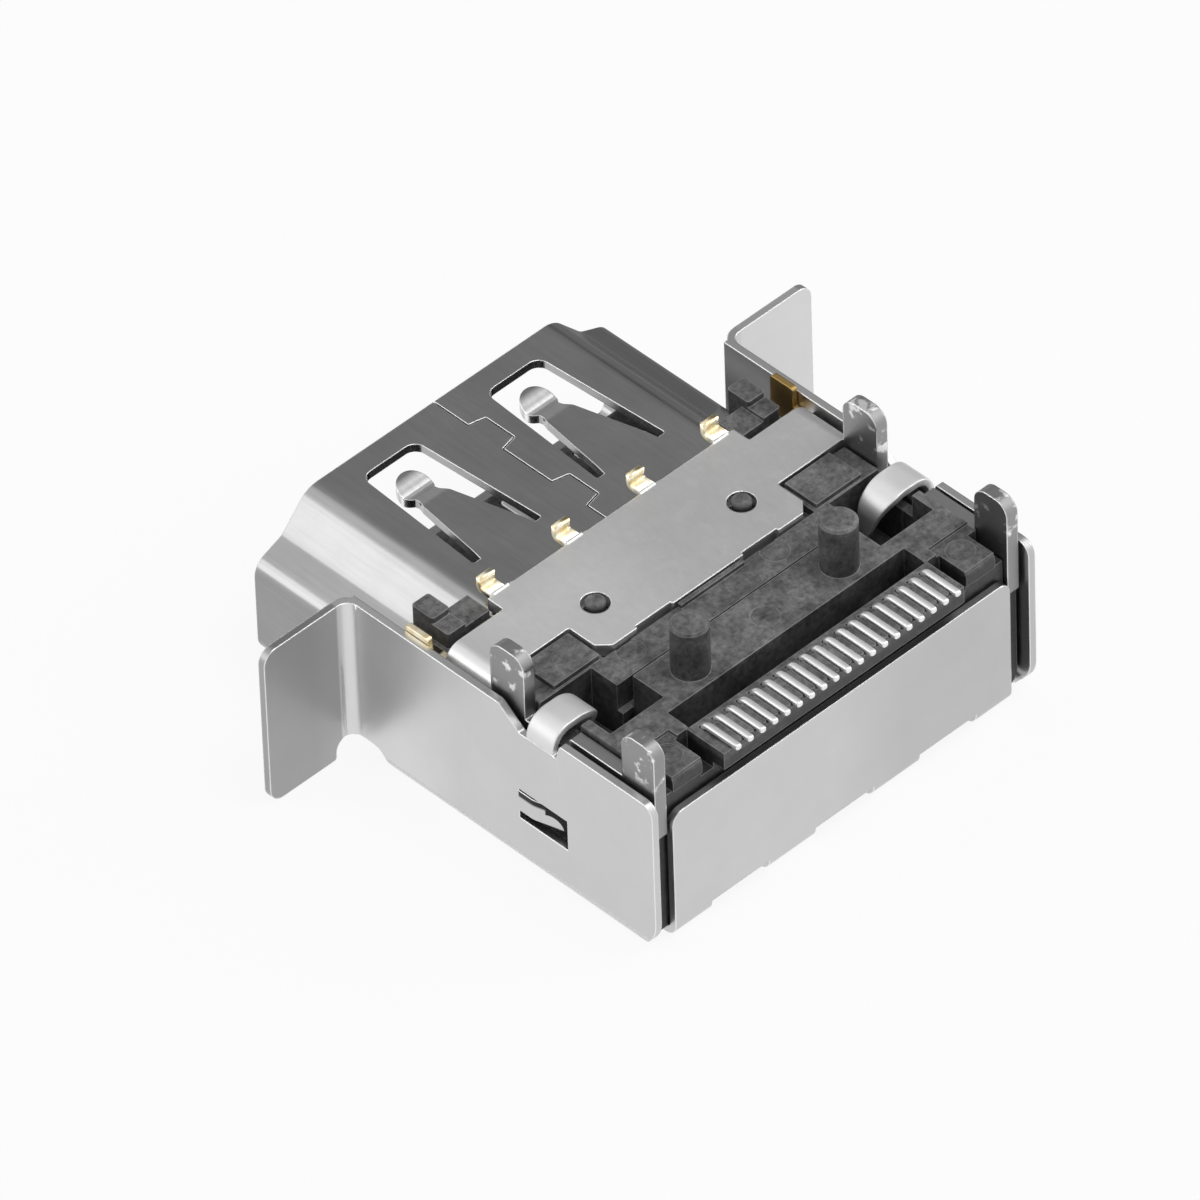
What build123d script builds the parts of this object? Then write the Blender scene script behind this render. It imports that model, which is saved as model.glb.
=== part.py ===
"""Board socket for a 19-contact video plug, in millimetres.

The socket lies on its flat cover with its board side up, as it would on a bench: the legs, the
locating pegs and the contact tails point up or lie on top. The plug enters from -Y. The origin
is on the ground, under the middle of the overall box.
"""
import os
from build123d import *

# Overall depth, from the edge of the plug mouth to the ends of the contact tails
overall_depth = 17.52
# Clearances between the pieces
slip = 0.05
seat_gap = 0.02

# Outer shield, one folded sheet: cover, two side plates, two flanges and a rear plate
shield_sheet = 0.25
shield_width = 15.70
shield_height = 5.95
shield_depth = 12.65
shield_bend = 0.45
flange_span = 22.46
flange_back = 4.64
flange_bend = 0.40
flange_corner = 0.50
rear_plate_width = 13.86
rear_plate_height = 4.88
rear_plate_inset = 0.12
rear_plate_corner = 0.45
foot_relief_height = 0.70
foot_relief_side = 1.45
foot_relief_flange = 0.72
rear_foot_radius = 1.15
bend_slot_rise = 0.22
bend_slot_centre = 1.20
bend_slot_near = 3.10
bend_slot_far = 5.45
cover_setback = 0.30

# Hoops that curl in from the top edges of the side plates
hoop_front = 12.07
hoop_width = 1.10
hoop_span = 1.76
hoop_crown = 6.10
hoop_corner = 0.62
hoop_tip = 4.15
hoop_tip_width = 0.24
hoop_relief = 0.30
hoop_relief_floor = 5.28
hoop_approach = 0.85

# Latches lanced from the side plates and bent in
latch_root = 11.67
latch_length = 1.88
latch_low = 1.83
latch_width = 1.17
latch_end_slot = 0.14
latch_top_slot = 0.09
latch_bottom_slot = 0.30
latch_bend_in = 0.36

# Inner shell, a rolled strip closed by a dovetail seam, wide side down
plug_width = 14.00
plug_height = 4.55
shell_sheet = 0.30
shell_gap = 0.15
shell_depth = 9.90
narrow_width = 10.12
foot_width = 12.30
shoulder_drop = 1.17
hip_drop = 1.63
narrow_radius = 0.95
foot_radius = 0.60
hip_radius = 0.70
floor_radius = 0.60
seam_near = -0.12
seam_far = -0.71
seam_width = 0.05
seam_lean = 0.14
seam_first = 1.47
seam_tab = 1.48
seam_between = 2.05

# Spring fingers in two windows of the narrow side
finger_centre = 2.54
window_front = 0.82
window_back = 5.87
window_front_width = 2.18
window_back_width = 2.80
window_corner = 0.40
slot_width = 0.28
head_diameter = 1.15
head_back = 1.96
neck_width = 0.80
neck_back = 2.55
arm_front = 2.87
arm_front_width = 1.08
finger_dip = 0.24
finger_bump = 0.46
finger_tip_dip = 0.20

# Ground bracket, thicker sheet: a cross plate over the board side, two walls and four legs
bracket_sheet = 0.45
bracket_width = 14.90
bracket_bend = 0.60
bracket_below_board = 0.05
wall_floor = 4.08
wall_top_drop = 0.20
wall_low_top = 5.40
plate_front = 7.64
plate_back = 11.67
plate_step = 0.10
plate_step_near = 1.45
plate_step_far = 2.90
plate_neck_half = 5.05
plate_tongue_half = 4.28
plate_chamfer = 0.38
ear_front = 8.29
ear_back = 10.24
contact_tab_pitch = 3.00
contact_tab_width = 0.62
contact_tab_length = 0.45
contact_tab_rise = 0.47
contact_tab_sheet = 0.20
contact_tab_sweep = 0.28
side_tab_front = 6.79
side_tab_width = 0.95
side_tab_rise = 0.05
side_tab_sheet = 0.20
front_leg_width = 1.40
rear_leg_width = 1.34
rear_leg_inset = 0.28
front_leg_rise = 1.62
rear_leg_rise = 1.55
leg_corner = 0.50
stake_hole = 0.90

# Moulded housing with the plug tongue
board_height = 6.10
housing_wide = 15.00
housing_narrow = 13.90
housing_floor_gap = 0.05
mouth_depth = 8.70
tongue_front = 2.40
tongue_width = 10.60
tongue_height = 1.10
tongue_nose = 0.25
split_back = 13.04
strip_drop = 0.25
strip_half = 4.87
strip_back = 12.82
strip_gap_depth = 1.00
strip_ridge_half = 1.30
strip_ridge_width = 0.15
strip_ridge_drop = 0.10
cheek_front = 6.25
cheek_step = 7.16
cheek_bridge = 6.87
cheek_back = 7.80
cheek_inner = 6.12
cheek_outer = 6.82
cheek_drop = 0.22
cheek_bridge_drop = 0.34
cheek_floor = 4.05
cheek_corner = 0.10
block_inner = 4.45
block_outer = 6.30
block_front = 10.36
block_back = 11.68
block_drop = 0.06
stake_diameter = 0.62
stake_spacing = 6.00
stake_back = 10.03

# Tail holder, the rear moulding with the pegs and the comb
peg_diameter = 1.20
peg_spacing = 6.10
peg_back = 14.03
peg_rise = 1.83
peg_chamfer = 0.08
pocket_front = 11.75
pocket_back = 14.34
pocket_inner = 4.45
pocket_outer = 6.62
pocket_floor = 3.80
pocket_shelf = 5.25
slot_front = 14.89
slot_back = 15.77
slot_half = 4.85
slot_floor = 4.10
comb_half = 4.92
comb_floor_drop = 0.02
comb_end_gap = 0.22
comb_lip = 5.45
rib_width = 0.20
rib_height = 0.10
rib_front = 16.24
end_block_inner = 5.42
end_block_outer = 6.60
end_block_back = 16.90
end_block_drop = 0.10
end_block_radius = 0.25
holder_rear_gap = 0.08
ejector_diameter = 0.90
ejector_depth = 0.04
strip_mark_back = 12.06
strip_mark_left = 3.55
strip_mark_right = -2.35

# Contacts, two rows on the tongue that meet in one row of tails
contact_count = 19
contact_pitch = 0.50
contact_width = 0.23
contact_thickness = 0.20
contact_front = 2.95
contact_proud = 0.03
contact_bend = 0.22
riser_back = 16.05

# Places worked out from the sizes above
mouth = -overall_depth / 2
flange_y = mouth + flange_back
shield_end = flange_y + shield_depth
side_face = shield_width / 2
side_inner = side_face - shield_sheet
rear_face = shield_end - rear_plate_inset
shell_floor = shield_sheet + shell_gap
shell_top = shell_floor + plug_height + 2 * shell_sheet
shell_half = plug_width / 2 + shell_sheet
bracket_top = board_height - bracket_below_board
bracket_under = bracket_top - bracket_sheet
wall_face = bracket_width / 2
wall_inner = wall_face - bracket_sheet
wall_top = board_height - wall_top_drop
tongue_middle = shell_floor + shell_sheet + plug_height / 2
finger_middle = shell_top - shell_sheet / 2


def outline(*corners):
    """Closed face through corners given as x, y and the radius of that corner."""
    points = [(x, y) for x, y, radius in corners]
    radii = [radius for x, y, radius in corners]
    return make_face(FilletPolyline(*points, radius=radii, close=True))


def sheet(points, bend, thickness):
    """Section of a folded sheet whose middle line runs through the points."""
    return trace(FilletPolyline(*points, radius=bend), line_width=thickness)


def rectangle(x0, x1, y0, y1):
    """Face of a rectangle between two corners."""
    return Pos((x0 + x1) / 2, (y0 + y1) / 2) * Rectangle(abs(x1 - x0), abs(y1 - y0))


def along_x(face, x0, x1):
    """Solid of a face drawn in Y and Z, from x0 to x1."""
    return extrude(Plane.YZ.offset(x0) * face, amount=x1 - x0)


def along_y(face, y0, y1):
    """Solid of a face drawn in X and Z, from y0 to y1."""
    return extrude(Plane.XZ.offset(-y0) * face, amount=y0 - y1)


def along_z(face, z0, z1):
    """Solid of a face drawn in X and Y, from z0 to z1."""
    return extrude(Plane.XY.offset(z0) * face, amount=z1 - z0)


def both_sides(half):
    """A piece together with its mirror image across the middle plane."""
    return half + mirror(half, about=Plane.YZ)


def side_plate_outline():
    """Side plate seen from the side, with the hoop's reliefs and the foot of the flange bend."""
    hoop_y = mouth + hoop_front
    hoop_end = hoop_y + hoop_width
    return outline(
        (flange_y, foot_relief_height, 0),
        (flange_y, shield_height, 0),
        (hoop_y - hoop_relief - hoop_approach, shield_height, 0.25),
        (hoop_y - hoop_relief, hoop_relief_floor, 0.15),
        (hoop_end + hoop_relief / 2, hoop_relief_floor, 0.06),
        (hoop_end + hoop_relief, shield_height - 0.1, 0.1),
        (shield_end, shield_height - 0.1, 0.45),
        (shield_end, 0, rear_foot_radius),
        (flange_y + foot_relief_side, 0, 0),
        (flange_y + foot_relief_side, foot_relief_height, foot_relief_height - 0.05),
    )


def flange_outline():
    """Flange seen from the front, with its rounded tip corners and the relief at its foot."""
    tip = flange_span / 2
    return outline(
        (side_face - shield_sheet, shield_height, 0),
        (tip, shield_height, flange_corner),
        (tip, 0, flange_corner),
        (side_face + foot_relief_flange, 0, 0.1),
        (side_face + foot_relief_flange, foot_relief_height, 0.45),
        (side_face - shield_sheet, foot_relief_height, 0),
    )


def hoop():
    """Strip that rises from a side plate, curls over inward and ends in a slanted point."""
    start = mouth + hoop_front
    end = start + hoop_width
    outer_x = side_face - shield_sheet / 2
    inner_x = side_face - hoop_span + shield_sheet / 2
    crown = hoop_crown - shield_sheet / 2
    path = [(outer_x, hoop_relief_floor - 0.2), (outer_x, crown), (inner_x, crown), (inner_x, hoop_tip)]
    strip = along_y(sheet(path, hoop_corner, shield_sheet), start, end)
    slant = outline(
        (start + hoop_tip_width, hoop_tip - 0.1, 0),
        (end + 0.1, hoop_relief_floor, 0),
        (end + 0.1, hoop_tip - 0.1, 0),
    )
    return strip - along_x(slant, inner_x - shield_sheet, inner_x + shield_sheet)


def latch_window():
    """Opening in a side plate around the latch, seen from the side."""
    root = mouth + latch_root
    return rectangle(root, root + latch_length + latch_end_slot, latch_low, latch_low + latch_width)


def latch():
    """Tongue with a round free end, bent in from its root towards the rear."""
    root = mouth + latch_root
    tip = root + latch_length
    low = latch_low + latch_bottom_slot
    high = latch_low + latch_width - latch_top_slot
    middle = side_face - shield_sheet / 2
    bend_y = root + latch_length * 0.3
    path = [(middle, root - 0.1), (middle, bend_y), (middle - latch_bend_in, tip)]
    strip = along_z(sheet(path, 0.6, shield_sheet), low, high)
    nose = outline(
        (root - 0.1, low, 0), (tip, low, 0.35), (tip, high, 0.35), (root - 0.1, high, 0)
    )
    return strip & along_x(nose, side_inner - 2 * latch_bend_in, side_face + slip)


def outer_shield():
    """The folded cover with side plates, flanges, hoops, latches and rear plate."""
    half = shield_sheet / 2
    middle = side_face - half
    above = shield_height + 1
    channel_path = [(-middle, above), (-middle, half), (middle, half), (middle, above)]
    rear_start = rear_face - 2 * shield_bend
    channel = along_y(sheet(channel_path, shield_bend - half, shield_sheet), flange_y - 0.5, shield_end)
    cover_front = flange_y + cover_setback
    keep_sides = along_x(side_plate_outline(), -side_face - 1, side_face + 1)
    cover_half = side_face - 2 * shield_bend
    cover_zone = rectangle(-cover_half, cover_half, cover_front, rear_start)
    corner_zone = rectangle(-side_face, side_face, flange_y, shield_end)
    lower = along_z(cover_zone + corner_zone, -1, shield_bend)
    hollow_half = side_face - shield_bend
    hollow = along_z(rectangle(-hollow_half, hollow_half, rear_start, shield_end + 1), -1, shield_bend)
    upper_zone = rectangle(-side_face, side_face, flange_y - 1, shield_end + 1)
    upper = along_z(upper_zone, shield_bend, above)
    body = channel & keep_sides & (lower + upper)
    body = body - hollow + (channel & along_z(cover_zone, -1, shield_bend))

    rear_middle = rear_face - half
    rear_path = [(rear_start - 0.2, half), (rear_middle, half), (rear_middle, rear_plate_height)]
    rear_half = rear_plate_width / 2
    rear = along_x(sheet(rear_path, shield_bend - half, shield_sheet), -rear_half, rear_half)
    rear_trim = outline(
        (-rear_half, -0.1, 0),
        (rear_half, -0.1, 0),
        (rear_half, rear_plate_height, rear_plate_corner),
        (-rear_half, rear_plate_height, rear_plate_corner),
    )
    rear = rear & along_y(rear_trim, rear_start - 1, shield_end)
    slots = rectangle(-bend_slot_centre, bend_slot_centre, 0, shield_sheet + bend_slot_rise)
    for side in (-1, 1):
        slots += rectangle(side * bend_slot_near, side * bend_slot_far, 0, shield_sheet + bend_slot_rise)
    rear = rear - along_y(slots, rear_face - shield_bend, shield_end)

    flange_middle = flange_y - half
    flange_radius = flange_bend + half
    tip = flange_span / 2
    flange_path = [(middle, flange_y + 1), (middle, flange_middle), (tip, flange_middle)]
    plan = sheet(flange_path, flange_radius, shield_sheet)
    flange = along_z(plan, 0, shield_height) & along_y(flange_outline(), flange_y - 1, flange_y + 0.9)
    relief = along_x(
        rectangle(flange_y - 1, flange_y + foot_relief_side, -1, foot_relief_height),
        side_inner - 0.1, side_face + 0.01,
    )
    side = (flange - relief) + hoop()
    window = along_x(latch_window(), side_inner - 0.1, side_face + 0.1)
    return body - both_sides(window) + rear + both_sides(side) + both_sides(latch())


def shell_outline():
    """Outer section of the inner shell: wide side down, sloping shoulders, narrow side up."""
    narrow = narrow_width / 2
    foot = foot_width / 2
    right = [
        (shell_half, shell_floor, floor_radius),
        (shell_half, shell_top - hip_drop, hip_radius),
        (foot, shell_top - shoulder_drop, foot_radius),
        (narrow, shell_top, narrow_radius),
    ]
    left = [(-x, z, radius) for x, z, radius in reversed(right)]
    return outline(*right, *left)


def seam_path():
    """Middle line of the dovetail seam on the narrow side, seen from above."""
    points = [(seam_near, mouth - 1)]
    y = mouth + seam_first
    for run in range(2):
        points += [(seam_near, y), (seam_far, y + seam_lean)]
        y += seam_tab
        points += [(seam_far, y - seam_lean), (seam_near, y)]
        y += seam_between
    points.append((seam_near, mouth + shell_depth + 1))
    return points


def window_outline():
    """Window in the narrow side, wider at its rear where the finger is rooted."""
    front = window_front_width / 2
    back = window_back_width / 2
    return outline(
        (finger_centre - front, mouth + window_front, window_corner),
        (finger_centre + front, mouth + window_front, window_corner),
        (finger_centre + back, mouth + window_back, slot_width / 3),
        (finger_centre - back, mouth + window_back, slot_width / 3),
    )


def finger():
    """Spring finger: an arm that narrows to a neck, and a round head with a pressed bump."""
    back = window_back_width / 2 - slot_width
    head_y = mouth + head_back
    arm = outline(
        (finger_centre - neck_width / 2, head_y, 0),
        (finger_centre + neck_width / 2, head_y, 0),
        (finger_centre + neck_width / 2, mouth + neck_back, 0.3),
        (finger_centre + arm_front_width / 2, mouth + arm_front, 0.3),
        (finger_centre + back, mouth + window_back + 0.1, 0),
        (finger_centre - back, mouth + window_back + 0.1, 0),
        (finger_centre - arm_front_width / 2, mouth + arm_front, 0.3),
        (finger_centre - neck_width / 2, mouth + neck_back, 0.3),
    )
    head = Pos(finger_centre, head_y) * Circle(head_diameter / 2)
    tip_y = head_y - head_diameter / 2
    path = [
        (mouth + window_back + 0.1, finger_middle),
        (mouth + window_back - 0.4, finger_middle),
        (mouth + arm_front, finger_middle - finger_dip),
        (head_y + 0.1, finger_middle - finger_bump),
        (tip_y - 0.05, finger_middle - finger_tip_dip),
    ]
    strip = along_x(sheet(path, [2.0, 1.0, 0.3], shell_sheet), 0, plug_width / 2)
    return strip & along_z(arm + head, shell_top - 2, shell_top + 1)


def inner_shell():
    """The barrel that guides the plug, with its seam and two spring fingers."""
    outer = shell_outline()
    inner = offset(outer, amount=-shell_sheet)
    shell = along_y(outer - inner, mouth, mouth + shell_depth)
    seam = along_z(sheet(seam_path(), 0.04, seam_width), shell_top - shell_sheet - 0.1, shell_top + 0.1)
    windows = both_sides(along_z(window_outline(), shell_top - shell_sheet - 0.1, shell_top + 0.1))
    return shell - seam - windows + both_sides(finger())


def cross_plate_outline():
    """Right half of the cross plate seen from above, with its stepped rear edge."""
    bend_start = wall_face - bracket_bend
    front = mouth + plate_front
    back = mouth + plate_back
    return outline(
        (0, front, 0),
        (plate_neck_half, front, 0),
        (plate_neck_half, mouth + ear_front, 0.08),
        (bend_start, mouth + ear_front, 0),
        (bend_start, mouth + ear_back, 0),
        (plate_tongue_half, mouth + ear_back, 0.08),
        (plate_tongue_half, back - plate_chamfer, 0.08),
        (plate_tongue_half - plate_chamfer, back, 0.08),
        (plate_step_far, back, 0.03),
        (plate_step_far, back - plate_step, 0.03),
        (plate_step_near, back - plate_step, 0.03),
        (plate_step_near, back, 0.03),
        (0, back, 0),
    )


def contact_tab():
    """Small plated lip that rises from the front edge and presses on the board."""
    front = mouth + plate_front
    middle = bracket_top - contact_tab_sheet / 2
    path = [
        (front + 0.3, middle),
        (front, middle),
        (front - 0.53 * contact_tab_length, middle + 0.42 * contact_tab_rise),
        (front - contact_tab_length, middle + contact_tab_rise),
    ]
    half = contact_tab_width / 2
    lip = along_x(sheet(path, 0.15, contact_tab_sheet), -half, half)
    sweep = rectangle(-half - contact_tab_sweep, -half, front - contact_tab_sweep, front)
    sweep -= Pos(-half - contact_tab_sweep, front - contact_tab_sweep) * Circle(contact_tab_sweep)
    return lip + along_z(sweep, bracket_top - contact_tab_sheet, bracket_top)


def leg(front, width, rise):
    """Outline of a leg seen from the side, standing on the wall, with rounded top corners."""
    top = board_height + rise
    return outline(
        (front, wall_low_top - 0.5, 0),
        (front, top, leg_corner),
        (front + width, top, leg_corner),
        (front + width, wall_low_top - 0.5, 0),
    )


def wall_outline():
    """Side wall seen from the side: ear foot, dip for the hoop and two legs."""
    front = mouth + side_tab_front + side_tab_width
    rear = shield_end - rear_leg_inset
    dip_back = mouth + hoop_front + hoop_width + hoop_relief
    ear_foot = bracket_top - bracket_bend
    wall = outline(
        (front, wall_floor, 0.1),
        (front, wall_low_top, 0.1),
        (mouth + ear_front, wall_low_top, 0),
        (mouth + ear_front, ear_foot, 0),
        (dip_back, ear_foot, 0.1),
        (dip_back, wall_top, 0.1),
        (rear, wall_top, 0),
        (rear, wall_floor, 0.1),
    )
    front_leg = leg(mouth + ear_back, front_leg_width, front_leg_rise)
    rear_leg = leg(rear - rear_leg_width, rear_leg_width, rear_leg_rise)
    return wall + front_leg + rear_leg


def side_tab():
    """Plated leaf in front of the wall, set out against the shield's side plate."""
    front = mouth + side_tab_front
    back = front + side_tab_width
    top = board_height + side_tab_rise
    side = outline(
        (front, wall_floor, 0.3),
        (front, top, 0.1),
        (back, top, 0.1),
        (back, wall_low_top, 0.1),
        (mouth + ear_front, wall_low_top, 0),
        (mouth + ear_front, wall_floor, 0),
    )
    face = side_inner - seat_gap
    return along_x(side, face - side_tab_sheet, face)


def ground_bracket():
    """The thick bracket that carries the board legs and grounds the shell."""
    holes = Pos(stake_spacing / 2, mouth + stake_back) * Circle(stake_hole / 2)
    plate = along_z(cross_plate_outline() - holes, bracket_under, bracket_top)
    bend_middle = bracket_bend - bracket_sheet / 2
    corner_x = wall_face - bracket_sheet / 2
    corner_z = bracket_top - bracket_sheet / 2
    path = [
        (wall_face - bracket_bend - 0.05, corner_z),
        (corner_x, corner_z),
        (corner_x, bracket_top - bracket_bend),
    ]
    bend = along_y(sheet(path, bend_middle * 0.999, bracket_sheet), mouth + ear_front, mouth + ear_back)
    wall = along_x(wall_outline(), wall_inner, wall_face)
    bracket = both_sides(plate + bend + wall + side_tab())
    for step in (-1.5, -0.5, 0.5, 1.5):
        bracket += Pos(step * contact_tab_pitch, 0, 0) * contact_tab()
    return bracket


def contact_path(row, widen=0.0):
    """Middle line of a contact seen from the side, from its tip on the tongue to its tail."""
    reach = tongue_height / 2 - contact_thickness / 2 + contact_proud
    level = tongue_middle + row * reach
    tail = board_height + contact_thickness / 2
    riser = mouth + riser_back
    return [
        (mouth + contact_front - widen, level),
        (riser, level),
        (riser, tail),
        (mouth + overall_depth + widen, tail),
    ]


def contact_solid(number, grow=0.0):
    """One contact; grow makes the channel that the mouldings leave for it."""
    row = -1 if number % 2 else 1
    x = (contact_count - 1) * contact_pitch / 2 - (number - 1) * contact_pitch
    section = sheet(contact_path(row, grow), contact_bend, contact_thickness + 2 * grow)
    half = contact_width / 2 + grow
    return along_x(section, x - half, x + half)


def moulding_section(top):
    """Section of the mouldings between the bracket walls: wide below them, narrow above."""
    wide = housing_wide / 2
    narrow = housing_narrow / 2
    floor = shield_sheet + housing_floor_gap
    ledge = wall_floor - slip
    right = [(wide, floor, 0.35), (wide, ledge, 0), (narrow, ledge, 0), (narrow, top, 0.06)]
    left = [(-x, z, radius) for x, z, radius in reversed(right)]
    return outline(*right, *left)


def latch_recess():
    """Pocket in the side of the mouldings that the latch springs into."""
    root = mouth + latch_root
    side = rectangle(root - 0.05, root + latch_length + 0.2, latch_low - 0.1, latch_low + latch_width + 0.1)
    return both_sides(along_x(side, side_inner - latch_bend_in - 0.15, housing_wide / 2 + 1))


def hoop_pocket():
    """Well for the hoop's point, with a lower shelf under the curl."""
    front = mouth + pocket_front
    split = mouth + split_back
    back = mouth + pocket_back
    well = rectangle(strip_half, pocket_outer, front, split)
    well += rectangle(pocket_inner, pocket_outer, split, back)
    shelf_back = mouth + hoop_front + hoop_width + hoop_relief
    shelf = rectangle(pocket_outer - 0.1, housing_wide, front, shelf_back)
    half = along_z(well, pocket_floor, board_height + 1) + along_z(shelf, pocket_shelf, board_height + 1)
    return both_sides(half)


def housing():
    """Front moulding: body, tongue, cheeks beside the shell, blocks and stake posts."""
    shell_end = mouth + shell_depth + slip
    split = mouth + split_back
    body = along_y(moulding_section(bracket_under - slip), shell_end, split)
    rear_band = along_y(moulding_section(board_height - strip_drop), mouth + block_front, split)
    under_half = plate_tongue_half + slip
    under_plate = rectangle(-under_half, under_half, mouth, mouth + plate_back + slip)
    under_plate += rectangle(-housing_wide, housing_wide, mouth, mouth + block_front)
    body += rear_band - along_z(under_plate, bracket_under - slip, board_height + 1)
    strip_top = board_height - strip_drop
    gap = rectangle(-strip_half, strip_half, mouth + strip_back, split + 1)
    body -= along_z(gap, strip_top - strip_gap_depth, board_height + 1)
    ridge_y = mouth + plate_back + slip
    ridge_top = board_height - strip_ridge_drop
    ridge = rectangle(ridge_y, ridge_y + strip_ridge_width, strip_top - 0.1, ridge_top)
    body += along_x(ridge, -strip_ridge_half, strip_ridge_half)
    for x in (strip_mark_left, strip_mark_right):
        mark = Pos(x, mouth + strip_mark_back) * Circle(ejector_diameter / 2)
        body -= along_z(mark, strip_top - ejector_depth, board_height + 1)

    opening = offset(shell_outline(), amount=-shell_sheet - slip)
    body += along_y(opening, mouth + mouth_depth, shell_end)
    nose = mouth + tongue_front
    tongue_low = tongue_middle - tongue_height / 2
    tongue_high = tongue_middle + tongue_height / 2
    tongue = outline(
        (nose, tongue_low, tongue_nose),
        (nose, tongue_high, tongue_nose),
        (mouth + mouth_depth + 0.1, tongue_high, 0),
        (mouth + mouth_depth + 0.1, tongue_low, 0),
    )
    body += along_x(tongue, -tongue_width / 2, tongue_width / 2)

    front_cheek = outline(
        (cheek_inner, mouth + cheek_front, cheek_corner),
        (cheek_outer, mouth + cheek_front, cheek_corner),
        (cheek_outer, mouth + cheek_step, cheek_corner),
        (cheek_inner, mouth + cheek_step, cheek_corner),
    )
    rear_cheek = outline(
        (cheek_inner, mouth + cheek_step - 0.2, 0),
        (cheek_outer, mouth + cheek_step - 0.2, 0),
        (cheek_outer, mouth + cheek_back, cheek_corner),
        (cheek_inner, mouth + cheek_back, 0),
    )
    foot_inner = plate_neck_half + 2 * slip
    bridge = rectangle(foot_inner, cheek_inner + 0.1, mouth + cheek_bridge, mouth + cheek_back)
    foot = rectangle(foot_inner, housing_narrow / 2, mouth + cheek_step, shell_end + 0.1)
    cheek = along_z(front_cheek, cheek_floor, board_height)
    cheek += along_z(rear_cheek, cheek_floor, board_height - cheek_drop)
    cheek += along_z(bridge, cheek_floor, board_height - cheek_bridge_drop)
    cheek += along_z(foot, cheek_floor, wall_low_top - 0.1)
    shell_room = along_y(offset(shell_outline(), amount=slip), mouth - 1, shell_end)
    body += both_sides(cheek - shell_room)

    block = rectangle(block_inner, block_outer, mouth + block_front, mouth + block_back)
    body += both_sides(along_z(block, bracket_under - 0.5, board_height - block_drop))
    stake = Pos(stake_spacing / 2, mouth + stake_back) * Circle(stake_diameter / 2)
    body += both_sides(along_z(stake, bracket_under - 0.5, board_height) - shell_room)
    return body - hoop_pocket() - latch_recess() - channels()


def comb_ribs():
    """Ribs between the tails, with round rear ends."""
    gaps = contact_count - 1
    front = mouth + rib_front
    back = mouth + overall_depth - comb_end_gap
    ribs = Sketch()
    for gap in range(gaps):
        x = (gap - (gaps - 1) / 2) * contact_pitch
        rib = rectangle(x - rib_width / 2, x + rib_width / 2, front, back - rib_width / 2)
        ribs += rib + Pos(x, back - rib_width / 2) * Circle(rib_width / 2)
    low = board_height - comb_floor_drop - 0.05
    return along_z(ribs, low, board_height + rib_height)


def tail_holder():
    """Rear moulding: deck with the pegs, deep slot, comb for the tails and end blocks."""
    split = mouth + split_back
    rear = rear_face - shield_sheet - holder_rear_gap
    body = along_y(moulding_section(board_height), split + seat_gap, rear)
    lip = rectangle(-comb_half, comb_half, rear - 0.2, mouth + overall_depth - comb_end_gap)
    body += along_z(lip, comb_lip, board_height)
    block_side = outline(
        (rear - 0.5, comb_lip, 0),
        (rear - 0.5, board_height - end_block_drop, 0),
        (mouth + end_block_back, board_height - end_block_drop, end_block_radius),
        (mouth + end_block_back, comb_lip, 0),
    )
    body += both_sides(along_x(block_side, end_block_inner, end_block_outer))

    slot = rectangle(-slot_half, slot_half, mouth + slot_front, mouth + slot_back)
    body -= along_z(slot, slot_floor, board_height + 1)
    comb = rectangle(-comb_half, comb_half, mouth + slot_back - 0.1, shield_end + 1)
    body -= along_z(comb, board_height - comb_floor_drop, board_height + 1)
    notch = rectangle(comb_half, end_block_inner, mouth + slot_back, shield_end + 1)
    body -= both_sides(along_z(notch, comb_lip - 0.2, board_height + 1))
    block_top = rectangle(end_block_inner - 0.1, housing_wide, mouth + slot_back - 0.35, shield_end + 1)
    body -= both_sides(along_z(block_top, board_height - end_block_drop, board_height + 1))
    shoulder = rectangle(end_block_outer, housing_wide, mouth + slot_back, shield_end + 1)
    body -= both_sides(along_z(shoulder, comb_lip, board_height + 1))

    peg = Pos(peg_spacing / 2, mouth + peg_back, board_height + peg_rise / 2 - 0.1)
    pin = peg * Cylinder(peg_diameter / 2, peg_rise + 0.2)
    pin = chamfer(pin.edges().group_by(Axis.Z)[-1], peg_chamfer)
    body += both_sides(pin)
    body += comb_ribs()
    end_x = (end_block_inner + end_block_outer) / 2
    end_mark = Pos(end_x, mouth + slot_back + 0.3) * Circle(ejector_diameter / 2)
    end_mark = along_z(end_mark, board_height - end_block_drop - ejector_depth, board_height + 1)
    middle_mark = Pos(0, mouth + peg_back) * Circle(ejector_diameter / 2)
    body -= both_sides(end_mark) + along_z(middle_mark, board_height - ejector_depth, board_height + 1)
    return body - hoop_pocket() - latch_recess() - channels()


def channels():
    """Channels for all the contacts, a little wider than the contacts."""
    cut = contact_solid(1, seat_gap)
    for number in range(2, contact_count + 1):
        cut += contact_solid(number, seat_gap)
    return cut


def save(name, solid):
    """Write one piece to its own file."""
    export_step(solid, f"parts/{name}.step")


os.makedirs("parts", exist_ok=True)
save("outer_shield", outer_shield())
save("inner_shell", inner_shell())
save("ground_bracket", ground_bracket())
save("housing", housing())
save("tail_holder", tail_holder())
for number in range(1, contact_count + 1):
    save(f"contact_{number:02d}", contact_solid(number))
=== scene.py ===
"""Dressed model of the board socket for a 19-contact video plug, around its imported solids."""
import math

import bmesh
import bpy
import numpy as np
from mathutils import Matrix, Vector


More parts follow.
